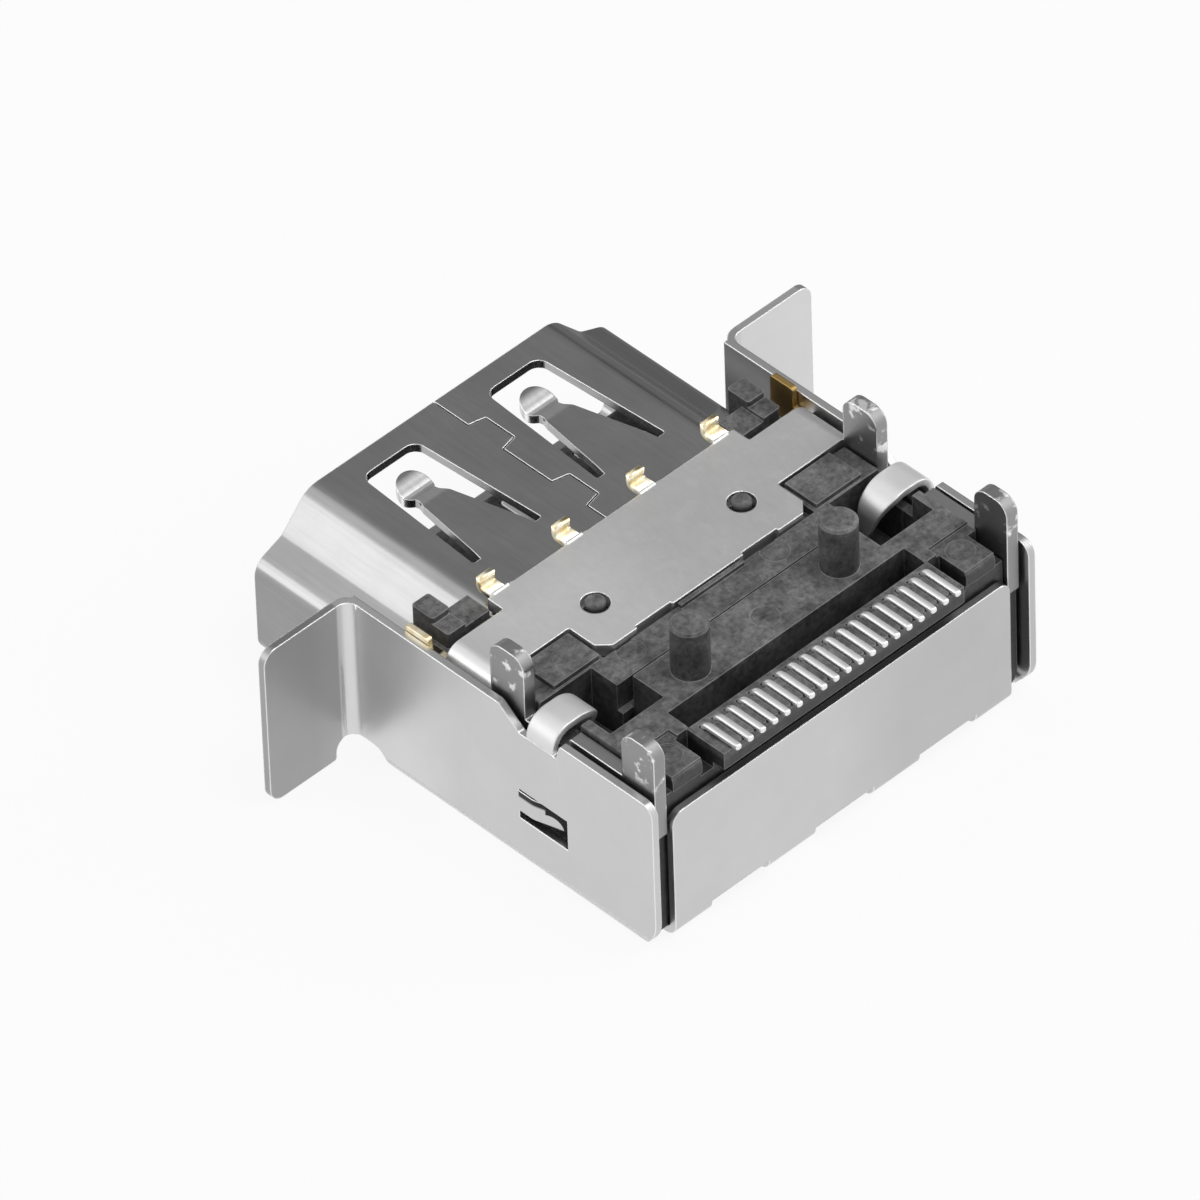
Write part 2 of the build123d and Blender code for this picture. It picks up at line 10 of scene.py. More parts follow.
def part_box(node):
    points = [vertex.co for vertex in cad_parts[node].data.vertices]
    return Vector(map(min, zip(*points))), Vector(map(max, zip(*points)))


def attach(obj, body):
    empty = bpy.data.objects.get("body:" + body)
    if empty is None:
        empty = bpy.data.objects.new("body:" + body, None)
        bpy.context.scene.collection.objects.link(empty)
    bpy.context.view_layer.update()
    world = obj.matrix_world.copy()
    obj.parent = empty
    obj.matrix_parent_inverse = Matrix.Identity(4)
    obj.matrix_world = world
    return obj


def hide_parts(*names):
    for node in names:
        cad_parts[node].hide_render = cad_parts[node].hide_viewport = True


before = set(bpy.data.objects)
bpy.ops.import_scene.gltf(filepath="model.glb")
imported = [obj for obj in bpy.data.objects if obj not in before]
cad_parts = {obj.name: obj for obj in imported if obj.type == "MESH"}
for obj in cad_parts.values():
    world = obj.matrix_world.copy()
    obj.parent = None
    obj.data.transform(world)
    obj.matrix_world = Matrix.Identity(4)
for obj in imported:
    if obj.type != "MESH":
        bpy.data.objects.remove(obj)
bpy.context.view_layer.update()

# Camera. The photograph is taken from the tail side and above, through a long lens from half a
# metre off, so edges that are parallel on the socket stay nearly parallel in the picture.
azimuth = math.radians(136.99)
elevation = math.radians(43.11)
roll = math.radians(-2.09)
distance = 0.5514
focal_length, sensor_width = 563.25, 36
farthest_seen = 10
aim = Vector((0.000601, -0.00110, 0.0030))
along_ground = Vector((math.sin(azimuth), -math.cos(azimuth), 0))
back = along_ground * math.cos(elevation) + Vector((0, 0, math.sin(elevation)))
sideways = Vector((math.cos(azimuth), math.sin(azimuth), 0))
upright = back.cross(sideways)
right = sideways * math.cos(roll) + upright * math.sin(roll)
up = upright * math.cos(roll) - sideways * math.sin(roll)
lens = bpy.data.cameras.new("camera")
lens.sensor_width = sensor_width
lens.lens = focal_length
lens.clip_end = farthest_seen
camera = bpy.data.objects.new("camera", lens)
camera.matrix_world = Matrix((right, up, back)).transposed().to_4x4()
camera.location = aim + back * distance
bpy.context.scene.collection.objects.link(camera)
bpy.context.scene.camera = camera
bpy.context.scene.view_settings.view_transform = "Standard"


# Table and studio. White table and pale walls, and soft lamps at the left, right and overhead.
# Dark curtains hang where the top and the right shoulder mirror them, a bright cloth where the
# left hip does, and a dark card on the table by the right flange shows only as a reflection.
def put(tree, kind, sockets=None, **settings):
    """Adds a node, sets its settings and its sockets, and returns it."""
    made = tree.nodes.new("ShaderNode" + kind)
    for name, value in settings.items():
        setattr(made, name, value)
    for socket, value in (sockets or {}).items():
        if isinstance(value, bpy.types.NodeSocket):
            tree.links.new(value, made.inputs[socket])
        else:
            made.inputs[socket].default_value = value
    return made


def calc(tree, operation, *values):
    """Output of a Math node with the given values or sockets."""
    return put(tree, "Math", dict(enumerate(values)), operation=operation).outputs[0]


def product(tree, result, *others):
    """All the given values or sockets multiplied together."""
    for other in others:
        result = calc(tree, "MULTIPLY", result, other)
    return result


def ramp(tree, value, low, high, start=0.0, end=1.0, interpolation="LINEAR"):
    """Goes from start to end while the value goes from low to high, and stays there past both."""
    sockets = dict(enumerate((value, low, high, start, end)))
    return put(tree, "MapRange", sockets, interpolation_type=interpolation).outputs[0]


def own_place(tree):
    """Outputs X, Y and Z of the point's place on the piece itself."""
    return put(tree, "SeparateXYZ", {0: put(tree, "TexCoord").outputs["Object"]}).outputs


def seen_directly(tree):
    """1 for rays from the camera, from a mirror-like surface or through glass, else 0."""
    path = put(tree, "LightPath").outputs
    seen = calc(tree, "MAXIMUM", path["Is Camera Ray"], path["Is Glossy Ray"])
    return calc(tree, "MAXIMUM", seen, path["Is Transmission Ray"])


def blank_material(name):
    """New material with an empty node tree and its output node."""
    material = bpy.data.materials.new(name)
    material.use_nodes = True
    tree = material.node_tree
    tree.nodes.clear()
    return material, tree, put(tree, "OutputMaterial")


table_half, table_drop = 1.5, 0.00002
table_mesh = bpy.data.meshes.new("table")
corners = [(x * table_half, y * table_half, -table_drop) for x, y in ((-1, -1), (1, -1), (1, 1), (-1, 1))]
table_mesh.from_pydata(corners, [], [(0, 1, 2, 3)])
table = bpy.data.objects.new("table", table_mesh)
bpy.context.scene.collection.objects.link(table)
plain_white, table_paint = (1, 1, 1, 1), (0.85, 0.85, 0.85, 1)
card_x, card_y, card_darkness = (-0.006, -0.010), (-0.0048, -0.0075), 0.8
glow_share = 0.9
white, tree, output = blank_material("white_table")
place = own_place(tree)
rightward = ramp(tree, place["X"], *card_x, 0.0, card_darkness, "SMOOTHSTEP")
forward = ramp(tree, place["Y"], *card_y, 0.0, 1.0, "SMOOTHSTEP")
card = product(tree, rightward, forward, put(tree, "LightPath").outputs["Is Glossy Ray"])
strength = calc(tree, "SUBTRACT", 1.0, card)
paint = put(tree, "BsdfDiffuse", {"Color": table_paint}).outputs[0]
glow = put(tree, "Emission", {"Color": plain_white, "Strength": strength}).outputs[0]
share = product(tree, seen_directly(tree), glow_share)
tree.links.new(put(tree, "MixShader", {0: share, 1: paint, 2: glow}).outputs[0], output.inputs[0])
table_mesh.materials.append(white)

ceiling_rise, ceiling_level = (0.25, 0.60), 0.75
ambient_level = 0.45
# Each cloth has its direction, how near to it a ray has to be at its hem and where it is full,
# and the factor of the walls' level.
cloths = (
    ((-0.500, -0.580, 0.645), 0.85, 0.96, 0.46),
    ((-0.830, -0.540, 0.100), 0.86, 0.95, 0.26),
    ((0.110, -0.534, 0.837), 0.88, 0.97, 1.30),
)
studio = bpy.data.worlds.new("studio")
studio.use_nodes = True
tree = studio.node_tree
tree.nodes.clear()
ray = put(tree, "TexCoord").outputs["Generated"]
rise = put(tree, "SeparateXYZ", {0: ray}).outputs["Z"]
level = ramp(tree, rise, *ceiling_rise, 1.0, ceiling_level, "SMOOTHSTEP")
for towards, hem, full, factor in cloths:
    nearness = put(tree, "VectorMath", {0: ray, 1: towards}, operation="DOT_PRODUCT").outputs["Value"]
    level = product(tree, level, ramp(tree, nearness, hem, full, 1.0, factor, "SMOOTHSTEP"))
walls = put(tree, "Background", {"Color": plain_white, "Strength": level}).outputs[0]
ambient = put(tree, "Background", {"Color": plain_white, "Strength": ambient_level}).outputs[0]
mix = put(tree, "MixShader", {0: seen_directly(tree), 1: ambient, 2: walls}).outputs[0]
tree.links.new(mix, put(tree, "OutputWorld").inputs[0])
bpy.context.scene.world = studio
lamp_distance = 0.25


def softbox(name, towards, size, power):
    """Square soft lamp at the lamp distance from the socket, facing it."""
    lamp = bpy.data.lights.new(name, "AREA")
    lamp.size = size
    lamp.energy = power
    made = bpy.data.objects.new(name, lamp)
    place = Vector(towards).normalized() * lamp_distance
    made.location = place
    made.rotation_euler = place.to_track_quat("Z", "Y").to_euler()
    bpy.context.scene.collection.objects.link(made)


softbox("left_lamp", towards=(0.72, -0.53, 0.45), size=0.16, power=0.090)
softbox("right_lamp", towards=(-0.75, 0.45, 0.45), size=0.14, power=0.14)
softbox("overhead_lamp", towards=(-0.15, 0.25, 1.0), size=0.16, power=0.20)


# Outer shield. One sheet of steel, 0.25 mm thick, tin plated, with satin faces and bright
# sheared edges, folded round the mouldings. Its hoops curl over in a rounder bend than the
# solid's, and narrow to a slanted point.
def noise(tree, scale, detail, roughness, vector=None):
    """Noise over the place on the piece itself, or over the given vector."""
    if vector is None:
        vector = put(tree, "TexCoord").outputs["Object"]
    sockets = {"Vector": vector, "Scale": scale, "Detail": detail, "Roughness": roughness}
    return put(tree, "TexNoise", sockets).outputs[0]


def mix_value(tree, share, first, second):
    """The first number where the share is 0, the second where it is 1."""
    return put(tree, "Mix", {0: share, 2: first, 3: second}, data_type="FLOAT").outputs[0]


def mix_colour(tree, share, first, second):
    """The first colour where the share is 0, the second where it is 1."""
    return put(tree, "Mix", {0: share, 6: first, 7: second}, data_type="RGBA").outputs[2]


def within(tree, value, low, high, softness):
    """1 where the value lies between low and high, with soft ends."""
    above = ramp(tree, value, low - softness, low + softness)
    below = ramp(tree, value, high - softness, high + softness, 1.0, 0.0)
    return product(tree, above, below)


def bump(tree, height, normal, strength, distance):
    """The given normal with the relief of the height laid over it."""
    sockets = {"Height": height, "Normal": normal, "Strength": strength, "Distance": distance}
    return put(tree, "Bump", sockets).outputs[0]


def new_group(name, inputs, outputs):
    """Empty node group with the named sockets, each name with its kind, and its two end nodes."""
    group = bpy.data.node_groups.new(name, "ShaderNodeTree")
    for socket, kind in inputs.items():
        group.interface.new_socket(socket, in_out="INPUT", socket_type="NodeSocket" + kind)
    for socket, kind in outputs.items():
        group.interface.new_socket(socket, in_out="OUTPUT", socket_type="NodeSocket" + kind)
    given = group.nodes.new("NodeGroupInput")
    result = group.nodes.new("NodeGroupOutput")
    return group, given.outputs, result.inputs


def edge_group():
    """Mask and normal of a slightly rounded edge: the mask grows with the angle between the
    rounded normal and the flat one."""
    sockets = {"Radius": "Float", "Gain": "Float"}
    group, given, result = new_group("sheared_edge", sockets, {"Mask": "Float", "Normal": "Vector"})
    rounded = put(group, "Bevel", {"Radius": given["Radius"]}, samples=6).outputs[0]
    flat = put(group, "NewGeometry").outputs["True Normal"]
    cosine = put(group, "VectorMath", {0: rounded, 1: flat}, operation="DOT_PRODUCT").outputs["Value"]
    turn = calc(group, "SUBTRACT", 1.0, cosine)
    mask = put(group, "Clamp", {"Value": product(group, turn, given["Gain"])}).outputs[0]
    group.links.new(mask, result["Mask"])
    group.links.new(rounded, result["Normal"])
    return group


def grain_group():
    """Rolling streaks and broad cloudiness of a metal face, both about zero."""
    sockets = {"Stretch": "Vector"}
    group, given, result = new_group("rolled_grain", sockets, {"Streak": "Float", "Cloud": "Float"})
    place = put(group, "TexCoord").outputs["Object"]
    stretched = put(group, "VectorMath", {0: place, 1: given["Stretch"]}, operation="MULTIPLY")
    streak = noise(group, scale=1.0, detail=4.0, roughness=0.65, vector=stretched.outputs[0])
    cloud = noise(group, scale=420.0, detail=4.0, roughness=0.55)
    middle = 0.5
    group.links.new(calc(group, "SUBTRACT", streak, middle), result["Streak"])
    group.links.new(calc(group, "SUBTRACT", cloud, middle), result["Cloud"])
    return group


sheared_edge = edge_group()
rolled_grain = grain_group()


def plated_sheet(
    name, tone, roughness, stretch, streaks, clouds, edge_tone, edge_radius, gain, metallic=1.0, patches=()
):
    """Grey plated sheet: streaks and clouds in the tone, brighter and smoother sheared edges. Each
    patch is a box with soft ends: X for one side or |X| for both, its ranges of X, Y and Z, how
    soft it ends in X and Y, and the factor of its tone. Returns the material, its tree, its
    shader and the socket of its grey tone."""
    edge_roughness, roughness_change = 0.22, 0.35
    relief_strength, relief_height = 0.35, 0.000004
    height_softness = 0.00004
    material, tree, output = blank_material(name)
    edge = put(tree, "Group", {"Radius": edge_radius, "Gain": gain}, node_tree=sheared_edge).outputs
    grain = put(tree, "Group", {"Stretch": stretch}, node_tree=rolled_grain).outputs
    streaking, clouding = product(tree, grain["Streak"], streaks), product(tree, grain["Cloud"], clouds)
    change = calc(tree, "ADD", streaking, clouding)
    place = own_place(tree)
    sides = {"|X|": calc(tree, "ABSOLUTE", place["X"]), "X": place["X"]}
    for side, x_range, y_range, z_range, softness, factor in patches:
        inside = product(
            tree,
            within(tree, sides[side], *x_range, softness),
            within(tree, place["Y"], *y_range, softness),
            within(tree, place["Z"], *z_range, height_softness),
        )
        tone = product(tree, mix_value(tree, inside, 1.0, factor), tone)
    face = product(tree, calc(tree, "ADD", change, 1.0), tone)
    grey = mix_value(tree, edge["Mask"], face, edge_tone)
    rough = calc(tree, "ADD", product(tree, change, roughness_change), roughness)
    rough = mix_value(tree, edge["Mask"], rough, edge_roughness)
    relief = bump(tree, grain["Streak"], edge["Normal"], relief_strength, relief_height)
    sockets = {"Base Color": grey, "Metallic": metallic, "Roughness": rough, "Normal": relief}
    shader = put(tree, "BsdfPrincipled", sockets)
    tree.links.new(shader.outputs[0], output.inputs[0])
    return material, tree, shader, grey


def strip_section(squareness, count=32):
    """Closed section of a coined strip within plus and minus one: a superellipse, as the cosine
    and the sine of the angle, each raised to 2 over the squareness with its sign kept."""
    angle = np.linspace(0, 2 * math.pi, count, endpoint=False)
    cosine, sine = np.cos(angle), np.sin(angle)
    across = np.sign(cosine) * np.abs(cosine) ** (2 / squareness)
    upward = np.sign(sine) * np.abs(sine) ** (2 / squareness)
    return across, upward


def ring_faces(ring_count, count):
    """Four-sided faces between each of the rings and the next, where each ring has the same
    count of points: a point, the next on its ring, and the same two on the ring after."""
    ring, point = np.meshgrid(np.arange(ring_count - 1), np.arange(count), indexing="ij")
    following = (point + 1) % count
    this_ring, next_ring = ring * count, (ring + 1) * count
    corners = (this_ring + point, this_ring + following, next_ring + following, next_ring + point)
    return np.stack(corners, -1).reshape(-1, 4).tolist()


def smooth_mesh(name, points, faces):
    """Mesh of the given points and faces, shaded smooth."""
    mesh = bpy.data.meshes.new(name)
    mesh.from_pydata(points.reshape(-1, 3).tolist(), [], faces)
    mesh.polygons.foreach_set("use_smooth", np.ones(len(mesh.polygons), bool))
    mesh.update()
    return mesh


def swept_mesh(name, line, across, half_width, half_thickness, squareness, ends=1.0):
    """Carries a strip's section along a line of points: each ring is spread along the across
    direction by its half width and along the line's normal by the half thickness, and the ends
    factor draws the first or last rings in to round the strip's ends."""
    across = np.array(across, float)
    along = np.gradient(line, axis=0)
    along /= np.linalg.norm(along, axis=1)[:, None]
    normal = np.cross(across, along)
    sideways, upward = strip_section(squareness)
    reach = (half_width * ends * np.ones(len(line)))[:, None, None]
    lift = (half_thickness * ends * np.ones(len(line)))[:, None, None]
    rings = line[:, None, :] + reach * sideways[None, :, None] * across
    rings = rings + lift * upward[None, :, None] * normal[:, None, :]
    ring_count, count = rings.shape[:2]
    caps = [list(range(count))[::-1], list(range((ring_count - 1) * count, ring_count * count))]
    return smooth_mesh(name, rings, ring_faces(ring_count, count) + caps)


def rounded_line(corners, radii, steps=9):
    """Line through corners, each inner one turned by an arc of its radius, as an array."""
    corners = [np.array(corner) for corner in corners]
    points = [corners[0]]
    for before, corner, after, radius in zip(corners, corners[1:], corners[2:], radii):
        inward = (before - corner) / np.linalg.norm(before - corner)
        outward = (after - corner) / np.linalg.norm(after - corner)
        middle = corner + (inward + outward) * radius
        turn = np.linspace(0, math.pi / 2, steps)[:, None]
        points.extend(middle - radius * (outward * np.cos(turn) + inward * np.sin(turn)))
    points.append(corners[-1])
    return np.array(points)


def finish_piece(name, mesh, material, node=None):
    """Makes the piece, puts it in the scene, hangs it under the root body, and hides the node if
    one is given, so that the piece stands in its place."""
    mesh.materials.append(material)
    piece = bpy.data.objects.new(name, mesh)
    bpy.context.scene.collection.objects.link(piece)
    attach(piece, "root")
    if node:
        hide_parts(node)


def cut_copy(node, name, point, direction, gone, material):
    """Copy of a CAD node with its doubles merged, split along a plane, less the points that gone
    picks, with the cuts closed. It takes the place of the node."""
    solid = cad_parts[node]
    work = bmesh.new()
    work.from_mesh(solid.data)
    work.transform(solid.matrix_world)
    bmesh.ops.remove_doubles(work, verts=work.verts, dist=1e-7)
    whole = work.verts[:] + work.edges[:] + work.faces[:]
    bmesh.ops.bisect_plane(work, geom=whole, plane_co=point, plane_no=direction)
    bmesh.ops.delete(work, geom=[corner for corner in work.verts if gone(corner.co)], context="VERTS")
    bmesh.ops.holes_fill(work, edges=[edge for edge in work.edges if edge.is_boundary], sides=0)
    mesh = bpy.data.meshes.new(name)
    work.to_mesh(mesh)
    work.free()
    finish_piece(name, mesh, material, node)


sheet_thickness, side_face, board_level = 0.00025, 0.00785, 0.00610
shield_tin, tree, shader, grey = plated_sheet(
    "shield_tin", tone=0.60, roughness=0.34, stretch=(900, 5200, 900), streaks=0.03, clouds=0.14,
    edge_tone=0.95, edge_radius=0.00006, gain=9.0,
    patches=(
        # Painted shade on the left flange, and painted light on the right flange and on the left side
        # plate behind its bend.
        ("X", (0.0083, 0.02), (-0.01, 0.01), (-0.01, 0.01), 0.00004, 0.60),
        ("X", (-0.02, -0.0083), (-0.01, 0.01), (-0.01, 0.01), 0.00004, 1.12),
        ("X", (0.0070, 0.0082), (-0.0060, -0.0008), (-0.01, 0.0062), 0.0012, 1.30),
        # Painted shade on the right half of the rear plate, and painted shade, nearly black, for the slot
        # above each latch.
        ("X", (-0.02, -0.0010), (0.0060, 0.0120), (-0.01, 0.01), 0.0015, 0.87),
        ("|X|", (0.0070, 0.0082), (0.0029, 0.0040), (0.00268, 0.00292), 0.00002, 0.05),
    ),
)
# Each latch is a little too long in the solid, so what lies past its rounded end is painted nearly black,
# as painted shade for the gap around the tongue's end.
latch_end_y, latch_end_z, latch_end_radius = 0.00404, 0.00206, 0.00046
black_reach, black_y, black_z = 0.0020, (-0.00015, 0.0009), (-0.00015, 0.0010)
latch_depth, painted_gap_shade = (0.0072, 0.00783), 0.02
rim_softness, y_softness, z_softness = 0.00001, 0.00002, 0.00005
place = own_place(tree)
beyond = calc(tree, "SUBTRACT", place["Y"], latch_end_y)
above = calc(tree, "SUBTRACT", place["Z"], latch_end_z)
reach = calc(tree, "SQRT", calc(tree, "ADD", product(tree, beyond, beyond), product(tree, above, above)))
past_end = product(
    tree,
    within(tree, reach, latch_end_radius, black_reach, rim_softness),
    within(tree, beyond, *black_y, y_softness),
    within(tree, above, *black_z, z_softness),
    within(tree, calc(tree, "ABSOLUTE", place["X"]), *latch_depth, rim_softness),
)
tree.links.new(mix_value(tree, past_end, grey, painted_gap_shade), shader.inputs["Base Color"])

hoop_front, hoop_end = 0.00331, 0.00441
hoop_foot, hoop_overlap = 0.00530, 0.00001
hoop_corner, hoop_curl, hoop_span = 0.00062, 0.00085, 0.00214
hoop_tip, tip_width = board_level - 0.00166, 0.00042
slant_top = board_level - 0.00020
hoop_squareness = 12
bend_steps, tip_steps = 17, 12
inside_from, inside_to, inside_above = 0.0050, 0.0070, 0.0038
edge_margin, cut_margin = 1e-5, 1e-6


def on_hoop(place):
    """True for points of the solid's two hoops: above the cut, or on the parts that hang inside."""
    in_line = hoop_front - edge_margin < place.y < hoop_end + edge_margin
    hanging = abs(place.x) < inside_to and place.z > inside_above
    return in_line and abs(place.x) > inside_from and (place.z > hoop_foot + cut_margin or hanging)


cut_copy("outer_shield", "shield_sheet", (0, 0, hoop_foot), (0, 0, 1), on_hoop, shield_tin)
# The hoops get a lighter, less metallic copy of the shield's tin as painted light; they are the same sheet
# as the shield.
hoop_tin_painted_light, *_ = plated_sheet(
    "hoop_tin_painted_light", tone=0.80, roughness=0.44, stretch=(900, 5200, 900), streaks=0.05, clouds=0.20,
    edge_tone=0.95, edge_radius=0.00004, gain=6.0, metallic=0.60,
)
foot, crown = hoop_foot - hoop_overlap, board_level - sheet_thickness / 2
for side, name in ((1, "left_hoop"), (-1, "right_hoop")):
    outer = side * (side_face - sheet_thickness / 2)
    inner = side * (side_face - hoop_span + sheet_thickness / 2)
    corners = ((outer, 0, foot), (outer, 0, crown), (inner, 0, crown), (inner, 0, hoop_tip))
    line = rounded_line(corners, (hoop_corner, hoop_curl), bend_steps)
    fall = np.linspace(0, 1, tip_steps + 1)[1:, None]
    line = np.concatenate([line[:-1], line[-2] + (line[-1] - line[-2]) * fall])
    share = (line[:, 2] - hoop_tip) / (slant_top - hoop_tip)
    rear_edge = hoop_front + tip_width + share * (hoop_end - hoop_front - tip_width)
    curling = np.abs(line[:, 0]) < abs(inner) + hoop_curl
    rear_edge = np.where(curling, np.minimum(rear_edge, hoop_end), hoop_end)
    line[:, 1] = (hoop_front + rear_edge) / 2
    half_width = (rear_edge - hoop_front) / 2
    mesh = swept_mesh(name, line, (0, -side, 0), half_width, sheet_thickness / 2, hoop_squareness)
    finish_piece(name, mesh, hoop_tin_painted_light, "outer_shield")


# Inner shell. Thinner bright steel, rolled up and closed by its dovetail seam, smoother than the
# shield, so it mirrors the dark curtains; drawing marks run along the way that the plug takes.
# The curled heads of the two fingers carry painted shading, from a dark rim to a painted highlight at the
# crease.
def dress(name, material):
    """Puts the material into every slot of a CAD node."""
    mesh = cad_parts[name].data
    for index in range(len(mesh.materials)):
        mesh.materials[index] = material
    if not mesh.materials:
        mesh.materials.append(material)


shell_steel, tree, shader, grey = plated_sheet(
    "shell_steel", tone=0.42, roughness=0.22, stretch=(6500, 420, 6500), streaks=0.22, clouds=0.30,
    edge_tone=0.95, edge_radius=0.00005, gain=8.0,
    patches=(
        # Painted shade on the lower left side and on the right shoulder.
        ("X", (0.00725, 0.0080), (-0.01, 0.01), (0.0, 0.0038), 0.0001, 0.66),
        ("X", (-0.0070, -0.0051), (-0.01, 0.01), (0.003, 0.0057), 0.0001, 0.85),
    ),
)
# Painted shading across the curled finger heads, with a painted highlight along the crease.
head_x, head_y, head_softness = (0.0018, 0.0033), (-0.00745, -0.00640), 0.00005
curl_y, curl_shading_gain = (-0.00735, -0.00635), 2.5
rim, crease = (0.08, 0.17), (0.92, 0.36)
curl_shading_tones = ((0.34, 0.66), (0.47, 0.52), (0.60, 0.96), (0.68, 0.96), (0.80, 0.42))
place = own_place(tree)
head = product(
    tree,
    within(tree, calc(tree, "ABSOLUTE", place["X"]), *head_x, head_softness),
    within(tree, place["Y"], *head_y, head_softness),
)
curl = put(tree, "ValToRGB", {0: ramp(tree, place["Y"], *curl_y)})
stops = curl.color_ramp.elements
for stop, (position, tone) in zip(stops, (rim, crease)):
    stop.position, stop.color = position, (tone, tone, tone, 1)
for position, tone in curl_shading_tones:
    stops.new(position).color = (tone, tone, tone, 1)
factor = mix_value(tree, head, 1.0, product(tree, curl.outputs[0], curl_shading_gain))
tree.links.new(product(tree, grey, factor), shader.inputs["Base Color"])
dress("inner_shell", shell_steel)

# Ground bracket. Thicker sheet with a fine brushed face. Its four front lips and two side leaves
# are gold plated, which fades out at their roots. Solder blots cling to its board legs, with a
# painted highlight on them towards the tops. The lips stand more upright and are shorter than
# the solid's.
bracket_tin, tree, shader, grey = plated_sheet(
    "bracket_tin", tone=0.74, roughness=0.42, stretch=(7000, 2400, 7000), streaks=0.12, clouds=0.10,
    edge_tone=0.95, edge_radius=0.00006, gain=9.0,
    patches=(
        # Painted shade on the board legs and the walls that carry them, and painted light on the left half
        # of the cross plate.
        ("|X|", (0.0069, 0.009), (0.00150, 0.009), (0.003, 0.009), 0.00004, 0.42),
        ("X", (0.0010, 0.0068), (-0.0015, 0.01), (0.0, 0.0062), 0.0015, 1.16),
    ),
)
solder_highlight_tone, solder_share = 0.93, 0.9
blot_rim, solder_height = (0.57, 0.63), (0.0060, 0.0063)
gold, pale_gold, shaded_gold = (0.93, 0.75, 0.42, 1), (1.0, 0.93, 0.72, 1), (0.45, 0.30, 0.11, 1)
plate_front, gilt_full, leaf_shift = -0.00112, -0.00150, 0.00060
both_leaves, right_leaf, shine_rim = (0.0062, 0.0064), (-0.0060, -0.0066), (0.40, 0.56)
place = own_place(tree)
# Solder blots, made brighter towards the top of the legs as a painted highlight.
blots = ramp(tree, noise(tree, scale=1500.0, detail=4.0, roughness=0.6), *blot_rim, 0.0, solder_share)
solder = product(tree, blots, ramp(tree, place["Z"], *solder_height))
grey = mix_value(tree, solder, grey, solder_highlight_tone)
shift = ramp(tree, calc(tree, "ABSOLUTE", place["X"]), *both_leaves, 0.0, leaf_shift)
gilt = ramp(tree, calc(tree, "SUBTRACT", place["Y"], shift), plate_front, gilt_full)
shine = ramp(tree, noise(tree, scale=3200.0, detail=3.0, roughness=0.6), *shine_rim)
plating = mix_colour(tree, shine, gold, pale_gold)
# Painted shade: the gold of the right leaf is darker.
plating = mix_colour(tree, ramp(tree, place["X"], *right_leaf), plating, shaded_gold)
tree.links.new(mix_colour(tree, gilt, grey, plating), shader.inputs["Base Color"])

lip_count, lip_pitch, lip_width, lip_length = 4, 0.00306, 0.00062, 0.00066
lip_sheet, lip_bend, lip_rise, lip_squareness = 0.00020, 0.00014, 0.00032, 8
lip_cut, lips_reach = plate_front - 0.00003, 0.0055
bracket_top = board_level - 0.00005


def before_plate(place):
    """True for points of the solid's lips, in front of the cut."""
    return place.y < lip_cut - cut_margin and abs(place.x) < lips_reach


cut_copy("ground_bracket", "bracket_sheet", (0, lip_cut, 0), (0, 1, 0), before_plate, bracket_tin)
lip_level = bracket_top - lip_sheet / 2
lip_front = plate_front - lip_length + lip_sheet / 2
for step in range(lip_count):
    x = (step - (lip_count - 1) / 2) * lip_pitch
    name = f"lip_{step + 1}"
    corners = ((x, lip_front, bracket_top + lip_rise), (x, lip_front, lip_level), (x, lip_cut, lip_level))
    line = rounded_line(corners, (lip_bend,))
    mesh = swept_mesh(name, line, (1, 0, 0), lip_width / 2, lip_sheet / 2, lip_squareness)
    finish_piece(name, mesh, bracket_tin, "ground_bracket")


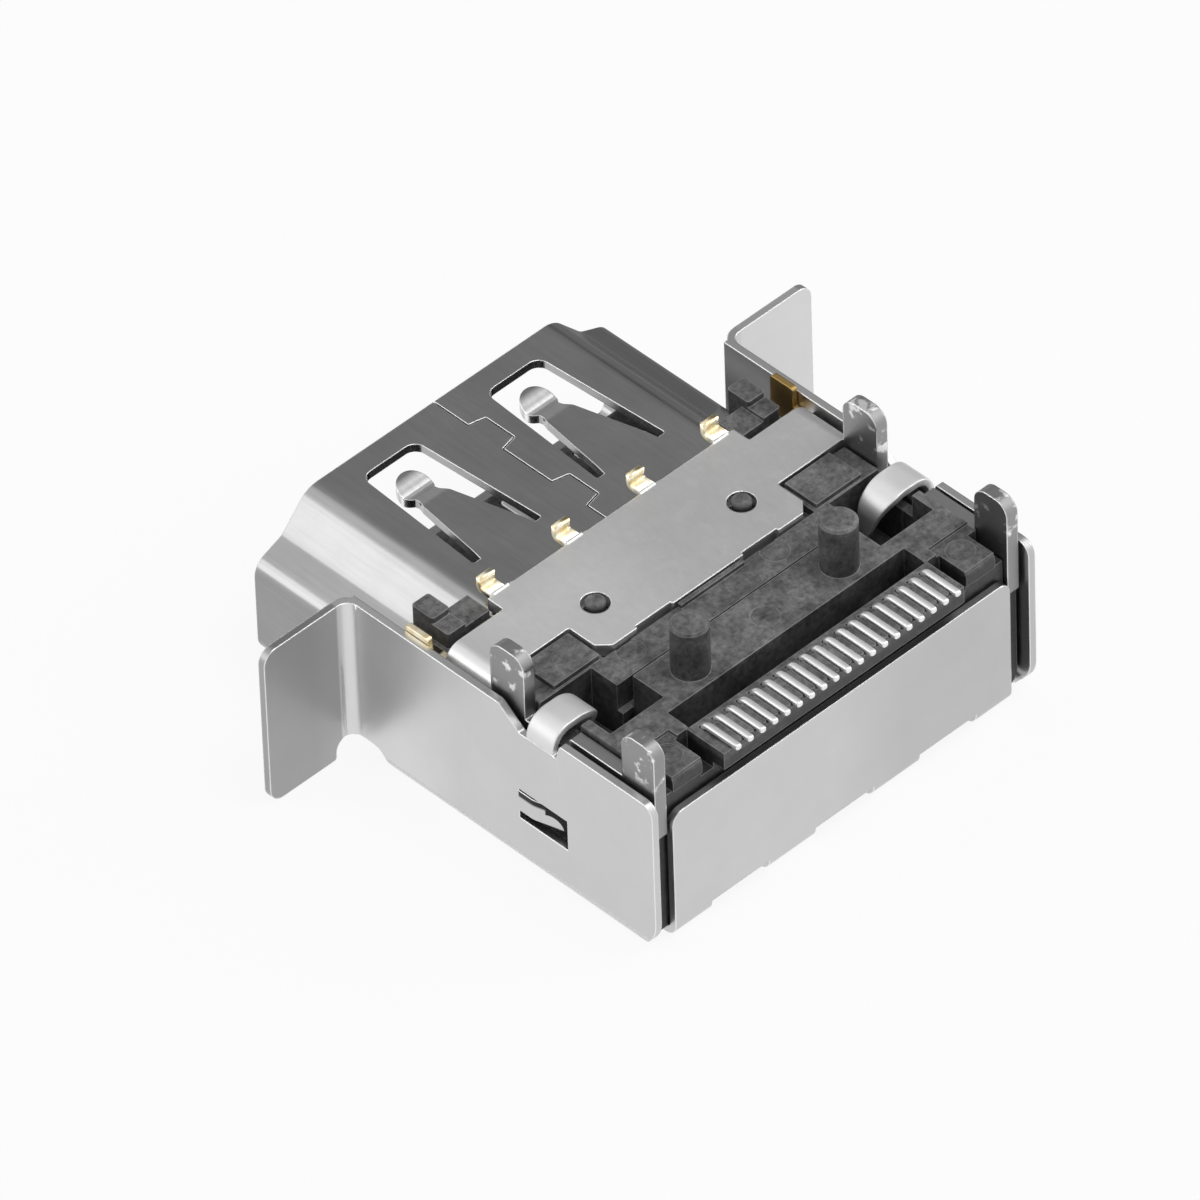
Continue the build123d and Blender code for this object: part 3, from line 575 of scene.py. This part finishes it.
# Mouldings. Black glass-filled plastic, dull and mottled where fibres lie at the surface, with
# pale edges painted as highlights. The housing goes in first and the tail holder closes the back.
# The heads of the two stakes are upset into low domes.
def moulded_black(name, tone, mottle):
    """Dull black plastic with fibre mottling, pits, painted highlights on its edges and painted shade
    on its upright faces. The comb, which lies below the deck at the back, has painted shade too."""
    edge_radius, edge_gain, edge_highlight_share, edge_highlight_tone = 0.00006, 4.0, 0.9, 0.38
    facing_range, upright_shade_factor = (0.3, 0.9), 0.55
    middle_fibre, patch_gain = 0.42, 2.0
    broad_range, broad_factors = (0.35, 0.68), (0.6, 1.5)
    deck_back, comb_height, comb_shade_depth = (0.0068, 0.0071), (0.00575, 0.00590), 0.62
    blackest, roughness, roughness_change = 0.012, 0.34, 0.25
    relief_strength, relief_height = 0.5, 0.00001
    material, tree, output = blank_material(name)
    sockets = {"Radius": edge_radius, "Gain": edge_gain}
    edge = put(tree, "Group", sockets, node_tree=sheared_edge).outputs
    # Painted shade on upright faces; faces that look up stay lighter.
    facing = put(tree, "SeparateXYZ", {0: put(tree, "NewGeometry").outputs["True Normal"]}).outputs["Z"]
    upward = ramp(tree, facing, *facing_range, upright_shade_factor, 1.0)
    fibres = noise(tree, scale=5200.0, detail=5.0, roughness=0.7)
    patches = noise(tree, scale=1100.0, detail=3.0, roughness=0.6)
    spread = product(tree, calc(tree, "SUBTRACT", fibres, middle_fibre), mottle, patches, patch_gain)
    broad = ramp(tree, patches, *broad_range, *broad_factors)
    face = calc(tree, "ADD", spread, product(tree, broad, tone))
    place = own_place(tree)
    # Painted shade over the comb, which lies recessed below the deck at the back.
    comb = product(
        tree,
        ramp(tree, place["Y"], *deck_back),
        ramp(tree, place["Z"], *comb_height, comb_shade_depth, 0.0),
    )
    face = product(tree, face, upward, calc(tree, "SUBTRACT", 1.0, comb))
    face = calc(tree, "MAXIMUM", face, blackest)
    # Painted highlights along the edges.
    grey = mix_value(tree, product(tree, edge["Mask"], broad, edge_highlight_share), face, edge_highlight_tone)
    relief = bump(tree, fibres, edge["Normal"], relief_strength, relief_height)
    rough = calc(tree, "ADD", product(tree, patches, roughness_change), roughness)
    shader = put(tree, "BsdfPrincipled", {"Base Color": grey, "Roughness": rough, "Normal": relief})
    tree.links.new(shader.outputs[0], output.inputs[0])
    return material


def dome_mesh(name, x, y, foot, radius, height, around=48, ring_count=11):
    """Closed low dome over its foot: each ring's radius goes with the cosine of an angle and its
    height with the sine, from level to the top, where the last ring closes on one point."""
    rise = np.linspace(0, math.pi / 2, ring_count + 1)[:-1, None]
    turn = np.linspace(0, 2 * math.pi, around, endpoint=False)[None, :]
    ring_radius, ring_height = radius * np.cos(rise), foot + height * np.sin(rise) + 0 * turn
    rings = np.stack([x + ring_radius * np.cos(turn), y + ring_radius * np.sin(turn), ring_height], -1)
    points = np.concatenate([rings.reshape(-1, 3), [(x, y, foot + height)]])
    edge, last = np.arange(around), (ring_count - 1) * around
    top = np.stack([last + edge, last + (edge + 1) % around, np.full(around, len(points) - 1)], -1)
    return smooth_mesh(name, points, ring_faces(ring_count, around) + top.tolist() + [edge[::-1].tolist()])


black_plastic = moulded_black("black_plastic", tone=0.090, mottle=0.36)
dress("housing", black_plastic)
dress("tail_holder", black_plastic)
stake_x, stake_y = 0.00300, 0.00127
stake_radius, stake_rise = 0.00033, 0.00022
stake_foot = board_level - 0.00006
for side, name in ((1, "left_stake"), (-1, "right_stake")):
    mesh = dome_mesh(name, side * stake_x, stake_y, stake_foot, stake_radius, stake_rise)
    finish_piece(name, mesh, black_plastic)

# Contacts. Nineteen strips of copper alloy, gold plated at the front of the tongue and tinned
# behind. Each is blanked, coined round at its edges, bent up through the holder and flat over
# its comb.
contact_count = 19
strip_thickness, strip_squareness = 0.00020, 2.7
riser_y, riser_bend, riser_steps = 0.00729, 0.00022, 9
after_front, before_end = 0.0001, np.array((0.0001, 0.00006, 0.00003, 0.00001, 0))
front_end, tail_ends = 0.78, (0.98, 0.90, 0.74, 0.45)
tongue_gilt = (-0.0062, -0.0066)


def contact_line(front, low, tail, end):
    """Middle line in Y and Z: straight along the tongue, a quarter turn up to the riser, a
    quarter turn back to level, then straight to the end. Each turn is an arc of the bend radius."""
    turn = np.linspace(0, math.pi / 2, riser_steps)
    first_y = riser_y - riser_bend + riser_bend * np.sin(turn)
    first_z = low + riser_bend - riser_bend * np.cos(turn)
    second_y = riser_y + riser_bend - riser_bend * np.cos(turn)
    second_z = tail - riser_bend + riser_bend * np.sin(turn)
    y = np.concatenate([[front, front + after_front], first_y, second_y, end - before_end])
    z = np.concatenate([[low, low], first_z, second_z, np.full(len(before_end), tail)])
    return y, z


contact_tin, tree, shader, grey = plated_sheet(
    "contact_tin", tone=0.90, roughness=0.36, stretch=(9000, 1500, 9000), streaks=0.15, clouds=0.25,
    edge_tone=0.80, edge_radius=0.0, gain=0.0, metallic=0.75,
)
gilt = ramp(tree, own_place(tree)["Y"], *tongue_gilt)
tree.links.new(mix_colour(tree, gilt, grey, gold), shader.inputs["Base Color"])
for number in range(1, contact_count + 1):
    node = f"contact_{number:02d}"
    low_corner, high_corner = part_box(node)
    half_width, half_thickness = (high_corner.x - low_corner.x) / 2, strip_thickness / 2
    low, tail = low_corner.z + half_thickness, high_corner.z - half_thickness
    y, z = contact_line(low_corner.y, low, tail, high_corner.y)
    line = np.stack([np.full(len(y), (low_corner.x + high_corner.x) / 2), y, z], 1)
    ends = np.ones(len(y))
    ends[0] = front_end
    ends[-len(tail_ends):] = tail_ends
    mesh = swept_mesh(node + "_strip", line, (1, 0, 0), half_width, half_thickness, strip_squareness, ends)
    finish_piece(node + "_strip", mesh, contact_tin, node)
